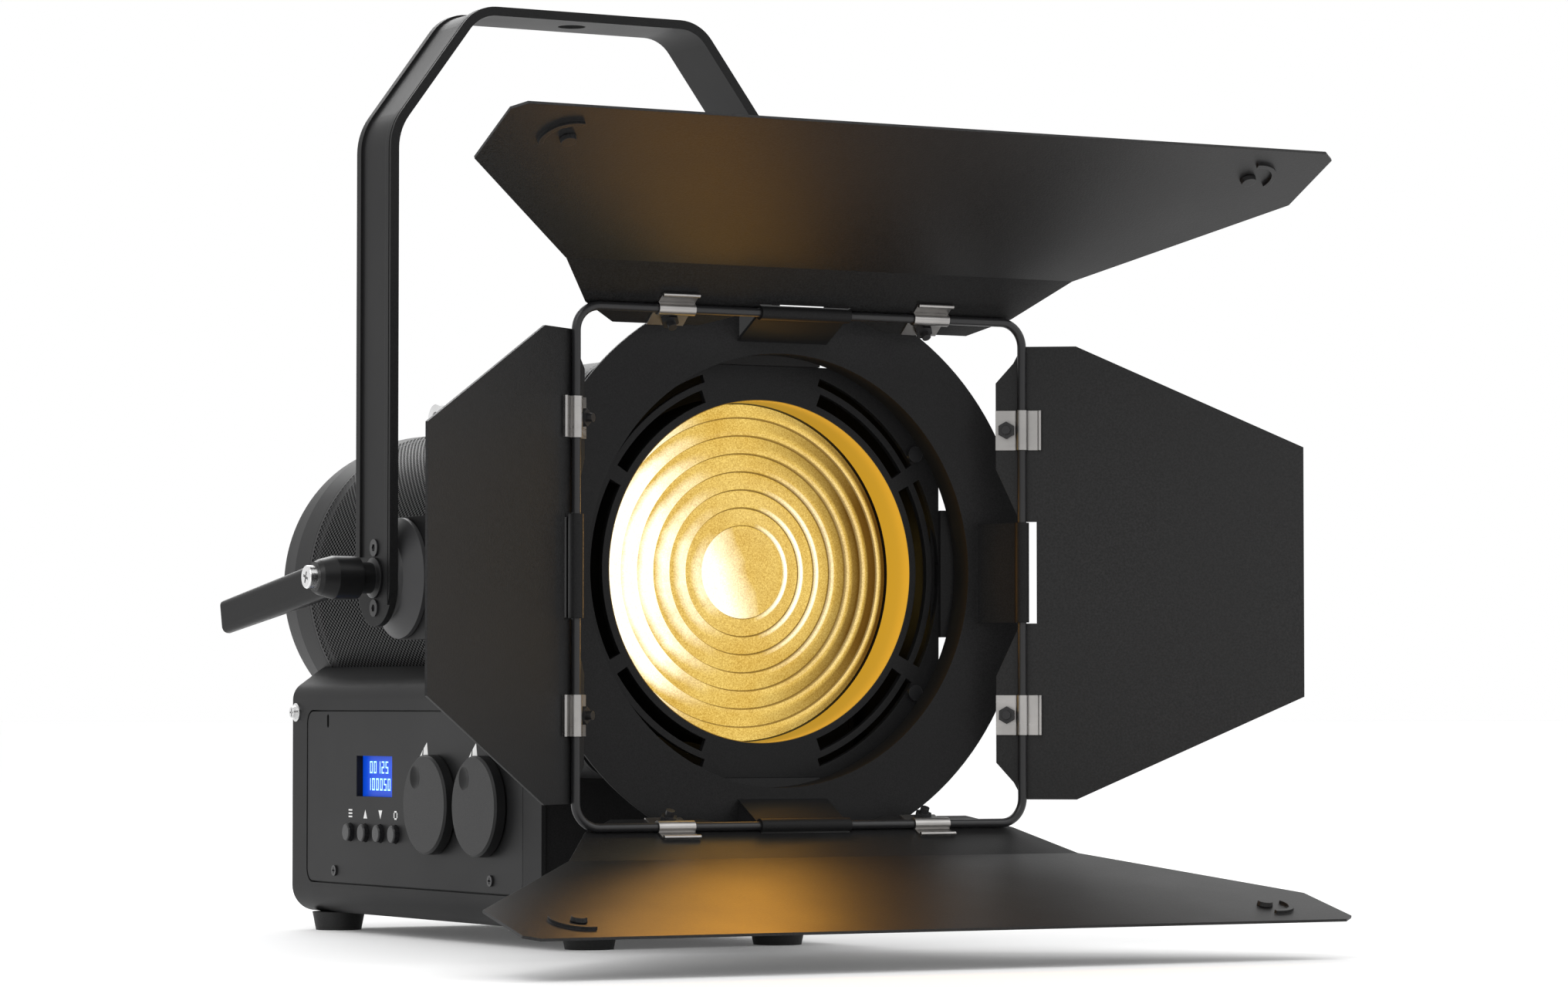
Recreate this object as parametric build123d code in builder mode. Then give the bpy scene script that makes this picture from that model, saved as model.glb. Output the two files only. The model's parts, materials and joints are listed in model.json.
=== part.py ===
from build123d import *
from math import cos, degrees, radians, sin, sqrt, tan
import os

# Fresnel spotlight with four barn doors, a yoke and a control base.
# Millimetres. +Z is up, the light shines towards -Y, X is symmetric about the beam.
# The origin is on the floor under the middle of the lamp's box.

# ---------------------------------------------------------------- driving dimensions
beam_z = 171.0            # height of the beam axis above the floor
rod_y = -138.9            # plane of the barn-door hinge rods
rod_half = 113.0          # rod frame, centre line to beam axis
rod_r = 2.0
rod_corner_r = 11.0

ring_y = rod_y + 20.0     # front of the barn-door ring plate
ring_r = 127.8
ring_opening_r = 96.7
ring_t = 1.4

head_y = rod_y + 39.4     # front face of the lamp head
head_half = 92.5
head_corner_r = 20.0
head_depth = 90.0
head_wall = 2.5
lens_opening_r = 76.7

tube_r = 76.5
tube_t = 1.0
tube_start_y = head_y + head_depth
tube_end_y = rod_y + 368.0
cap_end_y = rod_y + 406.0
cap_wall_y = cap_end_y - 5.0
fan_screw_r = 50.6

focus_z = -60.0           # focus spindle, from the beam axis
spindle_r = 4.0
rail_x = 66.0
rail_r = 4.0

pivot_y = rod_y + 230.0
arm_inner_x = 100.2
arm_t = 3.1
rib_h = 1.2
arm_w = 38.5
yoke_bend_z = beam_z + 210.6
yoke_top_z = beam_z + 267.7
yoke_bend_angle = 53.5
hanging_hole_r = 6.7

base_half = 81.0
base_front_y = rod_y + 97.5
base_back_y = rod_y + 376.5
base_bottom_z = 9.0
base_side_top_z = beam_z - 52.5
shoulder_x = 64.5
shoulder_z = beam_z - 41.0
base_corner_r = 13.0
shoulder_r = 9.0
sheet_t = 2.0
gap = 0.15                # seam between neighbouring fixed pieces

door_t = 1.2
door_bend = 11.6          # crease of the top and bottom doors
pin_gap = 0.08            # hinge clip and shaft clearance on the radius
clip_at = 64.5
clip_w = 18.0
top_angle = 38.5          # flap angle above straight ahead
bottom_angle = 25.2
side_angle = 54.3

beam_axis = Axis((0, 0, beam_z), (0, 1, 0))
os.makedirs("parts", exist_ok=True)


def across(y):
    """Section plane square to the beam at y: local x is X, local y is Z."""
    return Plane.XZ.offset(-y)


def beside(x):
    """Section plane square to X: local x is Y, local y is Z."""
    return Plane.YZ.offset(x)


def save(piece, label):
    piece.part.label = label
    export_step(piece.part, f"parts/{label}.step")


def turned(piece, angle):
    """A finished solid turned about the beam axis."""
    return piece.part.rotate(beam_axis, angle)


def beam_point(radius, angle):
    """Local (X, Z) of a point at a radius and angle about the beam."""
    return (radius * cos(radians(angle)), beam_z + radius * sin(radians(angle)))


def tube_along_beam(y, length, outer, inner):
    """Plain ring on the beam axis, made in the current part."""
    with BuildSketch(across(y)) as ring:
        with Locations((0, beam_z)):
            Circle(outer)
            Circle(inner, mode=Mode.SUBTRACT)
    extrude(ring.sketch, amount=-length)


def disc_along_beam(y, length, radius, at=(0, 0), mode=Mode.ADD):
    """Plain cylinder parallel to the beam, at an offset from it."""
    with BuildSketch(across(y)) as disc:
        with Locations((at[0], beam_z + at[1])):
            Circle(radius)
    extrude(disc.sketch, amount=-length, mode=mode)


# ---------------------------------------------------------------- base housing
def base_section(inset):
    """Section of the base: flat bottom, round lower corners and sloping shoulders."""
    side_x = base_half - inset
    side_z = base_side_top_z - 0.3 * inset
    with BuildSketch() as section:
        with BuildLine():
            Polyline(
                (-side_x, base_bottom_z + inset), (side_x, base_bottom_z + inset),
                (side_x, side_z), (shoulder_x - inset, shoulder_z),
                (-shoulder_x + inset, shoulder_z), (-side_x, side_z),
                close=True,
            )
        make_face()
        levels = vertices().group_by(Axis.Y)
        fillet(levels[1], shoulder_r - inset)
        fillet(vertices().group_by(Axis.Y)[0], base_corner_r - inset)
    return section.sketch


panel_y = (rod_y + 116.5, rod_y + 359.0)
panel_z = (beam_z - 147.0, beam_z - 62.3)
panel_mid = ((panel_y[0] + panel_y[1]) / 2, (panel_z[0] + panel_z[1]) / 2)
panel_size = (panel_y[1] - panel_y[0], panel_z[1] - panel_z[0])
panel_corner_r = 7.0

foot_r = 13.0
front_foot = (49.0, rod_y + 113.0)
back_foot = (64.0, rod_y + 358.0)
feet_at = [(sx * x, y) for x, y in (front_foot, back_foot) for sx in (-1, 1)]

with BuildPart() as base_shell:
    with BuildSketch(across(base_front_y)):
        add(base_section(0))
    extrude(amount=-(base_back_y - base_front_y))
    with BuildSketch(across(base_front_y)):
        add(base_section(sheet_t))
    extrude(amount=-(base_back_y - base_front_y), mode=Mode.SUBTRACT)
    disc_along_beam(base_front_y, base_back_y - base_front_y, tube_r + gap, mode=Mode.SUBTRACT)
    # opening for the control panel in the left wall
    with BuildSketch(beside(-base_half)):
        with Locations(panel_mid):
            RectangleRounded(*panel_size, panel_corner_r)
    extrude(amount=sheet_t + 1, mode=Mode.SUBTRACT)
    # bottom service opening, closed by the cover
    with BuildSketch(Plane.XY):
        with Locations((0, (base_front_y + base_back_y) / 2)):
            Rectangle(90, 170)
    extrude(amount=base_bottom_z + sheet_t + 1, mode=Mode.SUBTRACT)
    # cooling slots in the right wall
    with BuildSketch(beside(base_half - sheet_t - 1)):
        with GridLocations(12, 1, 12, 1):
            with Locations((panel_mid[0], panel_mid[1])):
                SlotOverall(46, 4, rotation=90)
    extrude(amount=sheet_t + 2, mode=Mode.SUBTRACT)
save(base_shell, "base_shell")

with BuildPart() as base_cover:
    with BuildSketch(Plane.XY.offset(base_bottom_z + sheet_t)):
        with Locations((0, (base_front_y + base_back_y) / 2)):
            Rectangle(104, 184)
    extrude(amount=1.5)
    with BuildSketch(Plane.XY.offset(base_bottom_z)):
        with Locations((0, (base_front_y + base_back_y) / 2)):
            Rectangle(88, 168)
    extrude(amount=sheet_t)
save(base_cover, "base_cover")


def end_plate(y, label, cut):
    """Flat end of the base, set inside the wrap, with an optional cut-out routine."""
    with BuildPart() as plate:
        with BuildSketch(across(y)):
            add(base_section(sheet_t + gap))
        extrude(amount=-sheet_t)
        disc_along_beam(y, sheet_t, tube_r + 0.6, mode=Mode.SUBTRACT)
        if cut:
            cut(y)
    save(plate, label)


# sockets on the back: local X and height of each, with its cut-out radius
socket_z = 62.0
power_at = [(-48.0, socket_z), (-10.0, socket_z)]
signal_at = [(24.0, socket_z), (54.0, socket_z)]
power_r = 12.0
signal_r = 11.0


def socket_holes(y):
    for places, radius in ((power_at, power_r), (signal_at, signal_r)):
        with BuildSketch(across(y)) as holes:
            with Locations(*places):
                Circle(radius + 0.1)
        extrude(holes.sketch, amount=-sheet_t, mode=Mode.SUBTRACT)


front_plate_y = base_front_y + 1.5
back_plate_y = base_back_y - 1.5 - sheet_t
end_plate(front_plate_y, "base_front_plate", None)
end_plate(back_plate_y, "base_rear_plate", socket_holes)


socket_face_y = back_plate_y + sheet_t
with BuildPart() as rear_sockets:
    for places, radius, flange, depth, pins, pin_r in (
        (power_at, power_r, 28.0, 24.0, 3, 1.8),
        (signal_at, signal_r, 27.0, 20.0, 5, 1.2),
    ):
        with BuildSketch(across(socket_face_y)):
            with Locations(*places):
                RectangleRounded(flange, flange, 3)
        extrude(amount=-2.2)
        with BuildSketch(across(socket_face_y - depth)):
            with Locations(*places):
                Circle(radius)
        extrude(amount=-depth)
        with BuildSketch(across(socket_face_y + 2.2)):
            with Locations(*places):
                Circle(radius - 2)
                with PolarLocations(radius * 0.45, pins):
                    Circle(pin_r, mode=Mode.SUBTRACT)
        extrude(amount=9, mode=Mode.SUBTRACT)
        with BuildSketch(across(socket_face_y)):
            with Locations(*places):
                with GridLocations(flange - 5.5, flange - 5.5, 2, 2):
                    Circle(1.4)
        extrude(amount=-3, mode=Mode.SUBTRACT)
save(rear_sockets, "rear_sockets")

with BuildPart() as rubber_feet:
    with BuildSketch(Plane.XY):
        with Locations(*feet_at):
            Circle(foot_r - 1.8)
    extrude(amount=base_bottom_z, taper=-degrees(1.8 / base_bottom_z))
    with BuildSketch(Plane.XY):
        with Locations(*feet_at):
            Circle(3.6)
    extrude(amount=3.0, mode=Mode.SUBTRACT)
save(rubber_feet, "rubber_feet")

# ---------------------------------------------------------------- control panel
panel_face_x = -base_half + 0.2
panel_t = 2.5
flange_t = 1.4
flange_x = -base_half + sheet_t + gap
lcd_mid = (rod_y + 279.3, beam_z - 94.2)
lcd_size = (41.0, 19.6)
button_r = 4.2
button_z = beam_z - 121.5
button_pitch = 17.4
first_button_y = rod_y + 306.8
button_ys = [first_button_y - i * button_pitch for i in range(4)]
knob_r = 23.4
knob_z = beam_z - 106.6
knob_ys = (rod_y + 209.7, rod_y + 156.2)
shaft_r = 3.0
board_x = -66.0

with BuildPart() as control_panel:
    with BuildSketch(beside(panel_face_x)):
        with Locations(panel_mid):
            RectangleRounded(panel_size[0] - 1.4, panel_size[1] - 1.4, panel_corner_r - 0.7)
    extrude(amount=flange_x - panel_face_x)
    with BuildSketch(beside(flange_x)):
        with Locations(panel_mid):
            RectangleRounded(panel_size[0] + 8, panel_size[1] + 3.6, panel_corner_r)
    extrude(amount=flange_t)
    with BuildSketch(beside(panel_face_x)):
        with Locations(lcd_mid):
            Rectangle(*lcd_size)
        with Locations(*[(y, button_z) for y in button_ys]):
            Circle(button_r + 0.3)
        with Locations(*[(y, knob_z) for y in knob_ys]):
            Circle(4.7)
        with Locations((rod_y + 334.0, beam_z - 67.7)):
            SlotOverall(6.5, 2.2, rotation=90)
    extrude(amount=8, mode=Mode.SUBTRACT)
save(control_panel, "control_panel")

screws_at = [(rod_y + 325.0, beam_z - 140.6), (rod_y + 150.1, beam_z - 140.6)]
with BuildPart() as panel_screws:
    with BuildSketch(beside(panel_face_x)):
        with Locations(*screws_at):
            Circle(2.6)
    extrude(amount=-0.9)
    with BuildSketch(beside(panel_face_x - 0.9)):
        with Locations(*screws_at):
            Rectangle(3.0, 0.7)
            Rectangle(0.7, 3.0)
    extrude(amount=0.7, mode=Mode.SUBTRACT)
with BuildPart() as lcd_display:
    with BuildSketch(beside(flange_x + flange_t + gap)):
        with Locations(lcd_mid):
            Rectangle(lcd_size[0] + 6, lcd_size[1] + 6)
    extrude(amount=5)
save(lcd_display, "lcd_display")

# board with the button switches and the two dimmer controls
with BuildPart() as control_board:
    with BuildSketch(beside(board_x)):
        with Locations((rod_y + 232.0, beam_z - 104.0)):
            Rectangle(188, 66)
    extrude(amount=1.6)
    with BuildSketch(beside(board_x)):
        with Locations(*[(y, button_z) for y in button_ys]):
            Rectangle(6, 6)
        with Locations(*[(y, knob_z) for y in knob_ys]):
            Rectangle(16, 16)
    extrude(amount=-6)
    with BuildSketch(beside(board_x - 6)):
        with Locations(*[(y, knob_z) for y in knob_ys]):
            Circle(4.5)
    extrude(amount=-(base_half - 66.0 - 6.0 + 0.6))
    with BuildSketch(beside(board_x - 6)):
        with Locations(*[(y, knob_z) for y in knob_ys]):
            Circle(shaft_r + pin_gap)
    extrude(amount=-12, mode=Mode.SUBTRACT)
save(control_board, "control_board")

for index, y in enumerate(button_ys):
    with BuildPart() as button:
        with BuildSketch(beside(panel_face_x - 2.8)):
            with Locations((y, button_z)):
                Circle(button_r)
        extrude(amount=panel_t + 2.8)
        fillet(button.faces().sort_by(Axis.X)[0].edges(), 0.8)
        with BuildSketch(beside(flange_x + flange_t + 0.6)):
            with Locations((y, button_z)):
                Circle(button_r + 1.2)
        extrude(amount=1.0)
        with BuildSketch(beside(panel_face_x)):
            with Locations((y, button_z)):
                Circle(1.8)
        extrude(amount=board_x - 6 - 1.3 - panel_face_x)
    save(button, f"button_{index + 1}")

knob_h = 5.4
knob_face_x = panel_face_x - 1.0 - knob_h
shaft_end_x = board_x - 6.3
dimple_r = 9.0
for index, y in enumerate(knob_ys):
    with BuildPart() as knob:
        with BuildSketch(Plane.XY.offset(knob_z)):
            with BuildLine():
                Polyline(
                    (knob_face_x, y), (knob_face_x, y + knob_r - 1.0), (knob_face_x + 1.0, y + knob_r),
                    (knob_face_x + knob_h, y + knob_r), (knob_face_x + knob_h, y + knob_r - 2.2),
                    (knob_face_x + 3.0, y + knob_r - 2.2), (knob_face_x + 3.0, y + 4.0),
                    (knob_face_x + 4.6, y + 4.0), (knob_face_x + 4.6, y + shaft_r),
                    (shaft_end_x, y + shaft_r), (shaft_end_x, y), close=True,
                )
            make_face()
        revolve(axis=Axis((0, y, knob_z), (1, 0, 0)))
        with BuildSketch(Plane.XY.offset(knob_z + 12.8)):
            with Locations((knob_face_x - dimple_r + 1.9, y + 9.5)):
                Circle(dimple_r)
                with Locations((0, -dimple_r)):
                    Rectangle(4 * dimple_r, 2 * dimple_r, mode=Mode.SUBTRACT)
        revolve(axis=Axis((0, y + 9.5, knob_z + 12.8), (1, 0, 0)), mode=Mode.SUBTRACT)
    save(knob, f"dimmer_knob_{index + 1}")

with BuildPart() as power_supply:
    with BuildSketch(Plane.XY.offset(base_bottom_z + sheet_t + 1.5)):
        with Locations((14, rod_y + 236)):
            Rectangle(92, 186)
    extrude(amount=46)
    with BuildSketch(Plane.XY.offset(base_bottom_z + sheet_t + 1.5 + 46)):
        with Locations((14, rod_y + 236)):
            with GridLocations(14, 1, 6, 1):
                SlotOverall(150, 5, rotation=90)
    extrude(amount=-1.2, mode=Mode.SUBTRACT)
save(power_supply, "power_supply")

shell_screw_at = [(rod_y + 371.5, beam_z - 63.5)]
with BuildPart() as shell_screws:
    for side in (-1, 1):
        with BuildSketch(beside(side * base_half)):
            with Locations(*shell_screw_at):
                Circle(4.6)
        extrude(amount=side * 0.8)
        with BuildSketch(beside(side * (base_half + 0.8))):
            with Locations(*shell_screw_at):
                Circle(3.4)
        extrude(amount=side * 2.2, taper=18)
        with BuildSketch(beside(side * (base_half + 3.0))):
            with Locations(*shell_screw_at):
                Rectangle(4.0, 0.9)
                Rectangle(0.9, 4.0)
        extrude(amount=-side * 1.2, mode=Mode.SUBTRACT)
save(shell_screws, "shell_screws")

# ---------------------------------------------------------------- lamp head and tube
bracket_x = 88.6
bracket_half = 29.0

with BuildPart() as front_housing:
    with BuildSketch(across(head_y + 3.2)):
        with Locations((0, beam_z)):
            RectangleRounded(2 * head_half, 2 * head_half, head_corner_r)
    extrude(amount=-(head_depth - 3.2))
    with BuildSketch(across(head_y)):
        with Locations((0, beam_z)):
            RectangleRounded(2 * (head_half - head_wall), 2 * (head_half - head_wall), 18)
    extrude(amount=-(head_depth - head_wall), mode=Mode.SUBTRACT)
    disc_along_beam(head_y, head_depth + 1, 60.0, mode=Mode.SUBTRACT)
    for x in (-rail_x, rail_x):
        disc_along_beam(head_y + head_depth - head_wall, head_wall, rail_r, (x, 0), Mode.SUBTRACT)
    # space for the base, which rises into the lower half of the housing's back
    with BuildSketch(across(base_front_y - 0.4)):
        add(base_section(-0.4))
    extrude(amount=-80, mode=Mode.SUBTRACT)
save(front_housing, "front_housing")


def arc_slot(inner, outer, start, end, centre=(0, beam_z)):
    """Ring sector as a sketch, about the beam axis or another centre."""
    points = [(centre[0] + r * cos(radians(a)), centre[1] + r * sin(radians(a)))
              for r, a in ((inner, start), (outer, start), (outer, end), (inner, end))]
    with BuildSketch() as sector:
        with BuildLine():
            Line(points[0], points[1])
            CenterArc(centre, outer, start, end - start)
            Line(points[2], points[3])
            CenterArc(centre, inner, start, end - start)
        make_face()
    return sector.sketch


block_half = 30.0         # solid lands of the front ring at the top and bottom
vent_rings = ((80.3, 86.1), (89.0, 92.6))
rib_angle = 30.0
rib_half = 2.4
ring_screw_r = 96.0
ring_screw_angle = 34.5

with BuildPart() as front_ring:
    with BuildSketch(across(head_y)):
        with Locations((0, beam_z)):
            RectangleRounded(2 * head_half, 2 * head_half, head_corner_r)
            Circle(lens_opening_r, mode=Mode.SUBTRACT)
    extrude(amount=-3.0)
    for quadrant in (0, 180):
        for low, high in vent_rings:
            edge = 90 - degrees(2 * block_half / (low + high))
            for start, end in ((rib_angle + rib_half, edge), (180 - edge, 180 - rib_angle - rib_half),
                               (-rib_angle + rib_half, rib_angle - rib_half)):
                with BuildSketch(across(head_y)):
                    add(arc_slot(low, high, quadrant + start, quadrant + end))
                extrude(amount=-3.0, mode=Mode.SUBTRACT)
    # barrel that carries the lens, with a seat behind it
    tube_along_beam(head_y + 3.0, 26.0, lens_opening_r + 2.6, lens_opening_r)
    tube_along_beam(head_y + 26.6, 2.4, lens_opening_r + 0.5, 71.5)
save(front_ring, "front_ring")

# all small black screws in one piece: front ring, fan guard and panel
with BuildPart() as black_screws:
    for side in (0, 180):
        for angle in (-ring_screw_angle, ring_screw_angle):
            spot = beam_point(ring_screw_r, side + angle)
            disc_along_beam(head_y - 2.2, 2.2, 3.6, (spot[0], spot[1] - beam_z))
    for angle in (45, 135, 225, 315):
        spot = beam_point(fan_screw_r, angle)
        disc_along_beam(cap_wall_y + gap + 2.0, 1.8, 3.0, (spot[0], spot[1] - beam_z))
    add(panel_screws)
save(black_screws, "black_screws")

# stepped glass: a domed centre and rings that each rise again at a sharp riser
lens_r = 76.2
lens_back_y = head_y + 26.4
lens_edge_t = 5.0
lens_rise = 5.6
step_radii = (21.0, 30.0, 37.5, 45.5, 54.0, 62.5, 70.0)


def facet(points, inner, outer, height, drop):
    """Adds one lens zone, as a point at its inner edge and one at its outer edge."""
    front = lens_back_y - lens_edge_t
    points.append((front - height, beam_z + inner))
    points.append((front - height + drop, beam_z + outer))


with BuildPart() as fresnel_lens:
    outline = [(lens_back_y, beam_z), (lens_back_y - lens_edge_t - lens_rise, beam_z)]
    outline.append((lens_back_y - lens_edge_t - lens_rise + 0.55, beam_z + 10.5))
    outline.append((lens_back_y - lens_edge_t - lens_rise + 2.2, beam_z + step_radii[0]))
    for inner_r, outer_r in zip(step_radii[:-1], step_radii[1:]):
        facet(outline, inner_r, outer_r, 4.4, 0.9 + 2.3 * outer_r / lens_r)
    outline.append((lens_back_y - lens_edge_t - 3.4, beam_z + step_radii[-1]))
    outline.append((lens_back_y - lens_edge_t - 0.6, beam_z + 74.4))
    outline.append((lens_back_y - lens_edge_t, beam_z + lens_r))
    outline.append((lens_back_y, beam_z + lens_r))
    with BuildSketch(Plane.YZ):
        with BuildLine():
            Polyline(*outline, close=True)
        make_face()
    revolve(axis=beam_axis)
save(fresnel_lens, "fresnel_lens")

# four bent brackets on the head; each traps the bead of the barn-door ring plate
holder_half = 29.0
holder_t = 1.5
bead_r = ring_opening_r + 3.3
bead_y = ring_y + 11.3
bead_t = 1.2
groove_x = bead_r + 1.2
lip_x = ring_opening_r + 1.6
with BuildPart() as holder:
    with BuildSketch(Plane.XY.offset(beam_z - holder_half)):
        with BuildLine():
            Polyline(
                (head_half, head_y + 24), (head_half + holder_t, head_y + 24),
                (head_half + holder_t, head_y - 1.0), (groove_x + holder_t, head_y - 4.6),
                (groove_x + holder_t, bead_y - 1.6), (lip_x, bead_y - 1.6),
                (lip_x, bead_y - 0.4), (groove_x, bead_y - 0.4),
                (groove_x, bead_y + bead_t + 0.4), (lip_x, bead_y + bead_t + 0.4),
                (lip_x, bead_y + bead_t + 1.6), (groove_x, bead_y + bead_t + 1.6),
                (head_half, head_y - 1.8), close=True,
            )
        make_face()
    extrude(amount=2 * holder_half)
with BuildPart() as accessory_holders:
    for angle in (0, 90, 180, 270):
        add(turned(holder, angle))
save(accessory_holders, "accessory_holders")

with BuildPart() as mesh_tube:
    tube_along_beam(tube_start_y, tube_end_y - tube_start_y, tube_r, tube_r - tube_t)
save(mesh_tube, "mesh_tube")

fan_half = 40.0

with BuildPart() as rear_cap:
    with BuildSketch(Plane.YZ):
        with BuildLine():
            Polyline(
                (tube_end_y - 8, beam_z + tube_r - tube_t - gap),
                (tube_end_y + gap, beam_z + tube_r - tube_t - gap),
                (tube_end_y + gap, beam_z + tube_r), (tube_end_y + 18, beam_z + tube_r),
                (tube_end_y + 19.5, beam_z + 75.4), (cap_end_y, beam_z + 73.3),
                (cap_end_y, beam_z + 70.0), (cap_wall_y, beam_z + 70.0),
                (cap_wall_y, beam_z + 36.0), (cap_wall_y - 3.0, beam_z + 36.0),
                (cap_wall_y - 3.0, beam_z + 72.0), (tube_end_y - 8, beam_z + 73.0),
                close=True,
            )
        make_face()
    revolve(axis=beam_axis)
    # vent slots round the fan opening
    for start in range(0, 360, 30):
        if start not in (240, 270):
            with BuildSketch(across(cap_wall_y - 3.0)):
                add(arc_slot(56.0, 66.0, start + 4, start + 26))
            extrude(amount=-3.0, mode=Mode.SUBTRACT)
    disc_along_beam(cap_wall_y - 3.0, 3.0, spindle_r + pin_gap, (0, focus_z), Mode.SUBTRACT)
save(rear_cap, "rear_cap")

fan_depth = 20.0
fan_y = cap_wall_y - 3.0 - gap - fan_depth
with BuildPart() as fan_frame:
    with BuildSketch(across(fan_y)):
        with Locations((0, beam_z)):
            RectangleRounded(2 * fan_half, 2 * fan_half, 4)
            Circle(37.6, mode=Mode.SUBTRACT)
    extrude(amount=-fan_depth)
    with BuildSketch(across(fan_y)):
        with Locations((0, beam_z)):
            Circle(15)
            with PolarLocations(27, 4, start_angle=45):
                Rectangle(28, 3)
            Circle(3.0 + pin_gap, mode=Mode.SUBTRACT)
    extrude(amount=-2.5)
save(fan_frame, "fan_frame")

with BuildPart() as fan_rotor:
    disc_along_beam(fan_y + 3.2, 15.0, 15.0)
    disc_along_beam(fan_y + 0.2, 3.2, 3.0)
    for blade in range(7):
        turn = radians(blade * 360 / 7)
        spot = beam_point(25.0, blade * 360 / 7)
        with BuildSketch(Plane(origin=(spot[0], fan_y + 10.5, spot[1]),
                               x_dir=(-sin(turn), 0.8, cos(turn)), z_dir=(cos(turn), 0, sin(turn)))):
            Rectangle(17, 1.4)
        extrude(amount=11, both=True)
save(fan_rotor, "fan_rotor")

# finger guard: five rings on four spokes that end in screw eyes
guard_y = cap_wall_y + gap
guard_t = 2.0
wire_r = 1.0
with BuildPart() as fan_guard:
    with BuildSketch(across(guard_y)):
        with Locations((0, beam_z)):
            for radius in (37.0, 30.0, 23.0, 16.0, 9.0):
                Circle(radius + wire_r)
                Circle(radius - wire_r, mode=Mode.SUBTRACT)
            with PolarLocations((fan_screw_r + 9.0) / 2, 4, start_angle=45):
                Rectangle(fan_screw_r - 9.0, 1.8)
            with PolarLocations(fan_screw_r, 4, start_angle=45):
                Circle(3.6)
    extrude(amount=-guard_t)
save(fan_guard, "fan_guard")

# side brackets: flat pads hugging the tube, round about the pivot
with BuildPart() as bracket:
    with BuildSketch(beside(68.0)):
        with Locations(((tube_start_y + gap + pivot_y) / 2, beam_z)):
            Rectangle(pivot_y - tube_start_y - gap, 2 * bracket_half)
        with Locations((pivot_y, beam_z)):
            Circle(bracket_half)
    extrude(amount=bracket_x - 68.0)
    disc_along_beam(tube_start_y - 5, 180, tube_r + gap, mode=Mode.SUBTRACT)
    with BuildSketch(beside(60.0)):
        with Locations((pivot_y, beam_z)):
            Circle(5.0)
    extrude(amount=40, mode=Mode.SUBTRACT)
with BuildPart() as pivot_brackets:
    add(bracket)
    mirror(bracket.part, about=Plane.YZ)
save(pivot_brackets, "pivot_brackets")

hub_end_x = 134.2
stud_end_x = 124.0
with BuildPart() as pivot_studs:
    for side in (-1, 1):
        with BuildSketch(beside(side * 78.0)):
            with Locations((pivot_y, beam_z)):
                Circle(5.0)
        extrude(amount=side * (stud_end_x - 78.0))
save(pivot_studs, "pivot_studs")

with BuildPart() as focus_rails:
    for x in (-rail_x, rail_x):
        disc_along_beam(tube_start_y - head_wall, cap_wall_y - 3.0 - tube_start_y + head_wall, rail_r, (x, 0))
save(focus_rails, "focus_rails")

with BuildPart() as safety_eye:
    with BuildSketch(beside(-3.0)):
        with Locations((tube_end_y + 9.0, beam_z + tube_r + 7.0)):
            Circle(9.0)
            Circle(5.2, mode=Mode.SUBTRACT)
        with Locations((tube_end_y + 9.0, beam_z + tube_r - 0.5)):
            Rectangle(14, 3.0)
    extrude(amount=6.0)
    disc_along_beam(tube_end_y - 20, 60, tube_r, mode=Mode.SUBTRACT)
save(safety_eye, "safety_eye")

# ---------------------------------------------------------------- focus carriage
led_y = rod_y + 215.0
with BuildPart() as heat_sink:
    disc_along_beam(led_y, 10.0, 52.0)
    with BuildSketch(across(led_y)):
        with Locations((0, beam_z)):
            Rectangle(2 * rail_x + 14, 16)
        with Locations((0, beam_z + focus_z / 2)):
            Rectangle(14, -focus_z)
        with Locations((0, beam_z + focus_z)):
            Circle(8.0)
    extrude(amount=-10.0)
    with BuildSketch(across(led_y + 10.0)):
        with Locations((0, beam_z)):
            with GridLocations(8.0, 1, 11, 1):
                Rectangle(2.4, 62)
    extrude(amount=-42.0)
    for x in (-rail_x, rail_x):
        disc_along_beam(led_y, 10.0, rail_r + pin_gap, (x, 0), Mode.SUBTRACT)
    disc_along_beam(led_y, 10.0, spindle_r + pin_gap, (0, focus_z), Mode.SUBTRACT)
save(heat_sink, "heat_sink")

with BuildPart() as led_board:
    with BuildSketch(across(led_y - 2.0)):
        with Locations((0, beam_z)):
            RectangleRounded(48, 48, 3)
    extrude(amount=-2.0)
    disc_along_beam(led_y - 3.2, 1.2, 17.0)
save(led_board, "led_board")

with BuildPart() as light_cone:
    with BuildSketch(Plane.YZ):
        with BuildLine():
            Polyline(
                (led_y - 2.0 - gap, beam_z + 18.5), (led_y - 2.0 - gap, beam_z + 24.0),
                (led_y - 4.0, beam_z + 24.0), (led_y - 40.0, beam_z + 47.0),
                (led_y - 40.0, beam_z + 45.2), (led_y - 4.6, beam_z + 18.5),
                close=True,
            )
        make_face()
    revolve(axis=beam_axis)
save(light_cone, "light_cone")

# knob and threaded spindle, one turned piece; the spindle runs in the carriage's lower ear
spindle_start_y = tube_start_y + 12
with BuildPart() as focus_knob:
    disc_along_beam(spindle_start_y, cap_wall_y + 3.0 - spindle_start_y, spindle_r, (0, focus_z))
    with BuildSketch(across(cap_wall_y + 0.4)):
        with Locations((0, beam_z + focus_z)):
            Circle(9.0)
            with PolarLocations(9.2, 12):
                Circle(0.9, mode=Mode.SUBTRACT)
    extrude(amount=-11.0)
save(focus_knob, "focus_knob")

# ---------------------------------------------------------------- yoke
arm_foot_z = beam_z - 22.9
arm_end_r = arm_w / 2
bend_radii = (26.0, 17.0)


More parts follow.
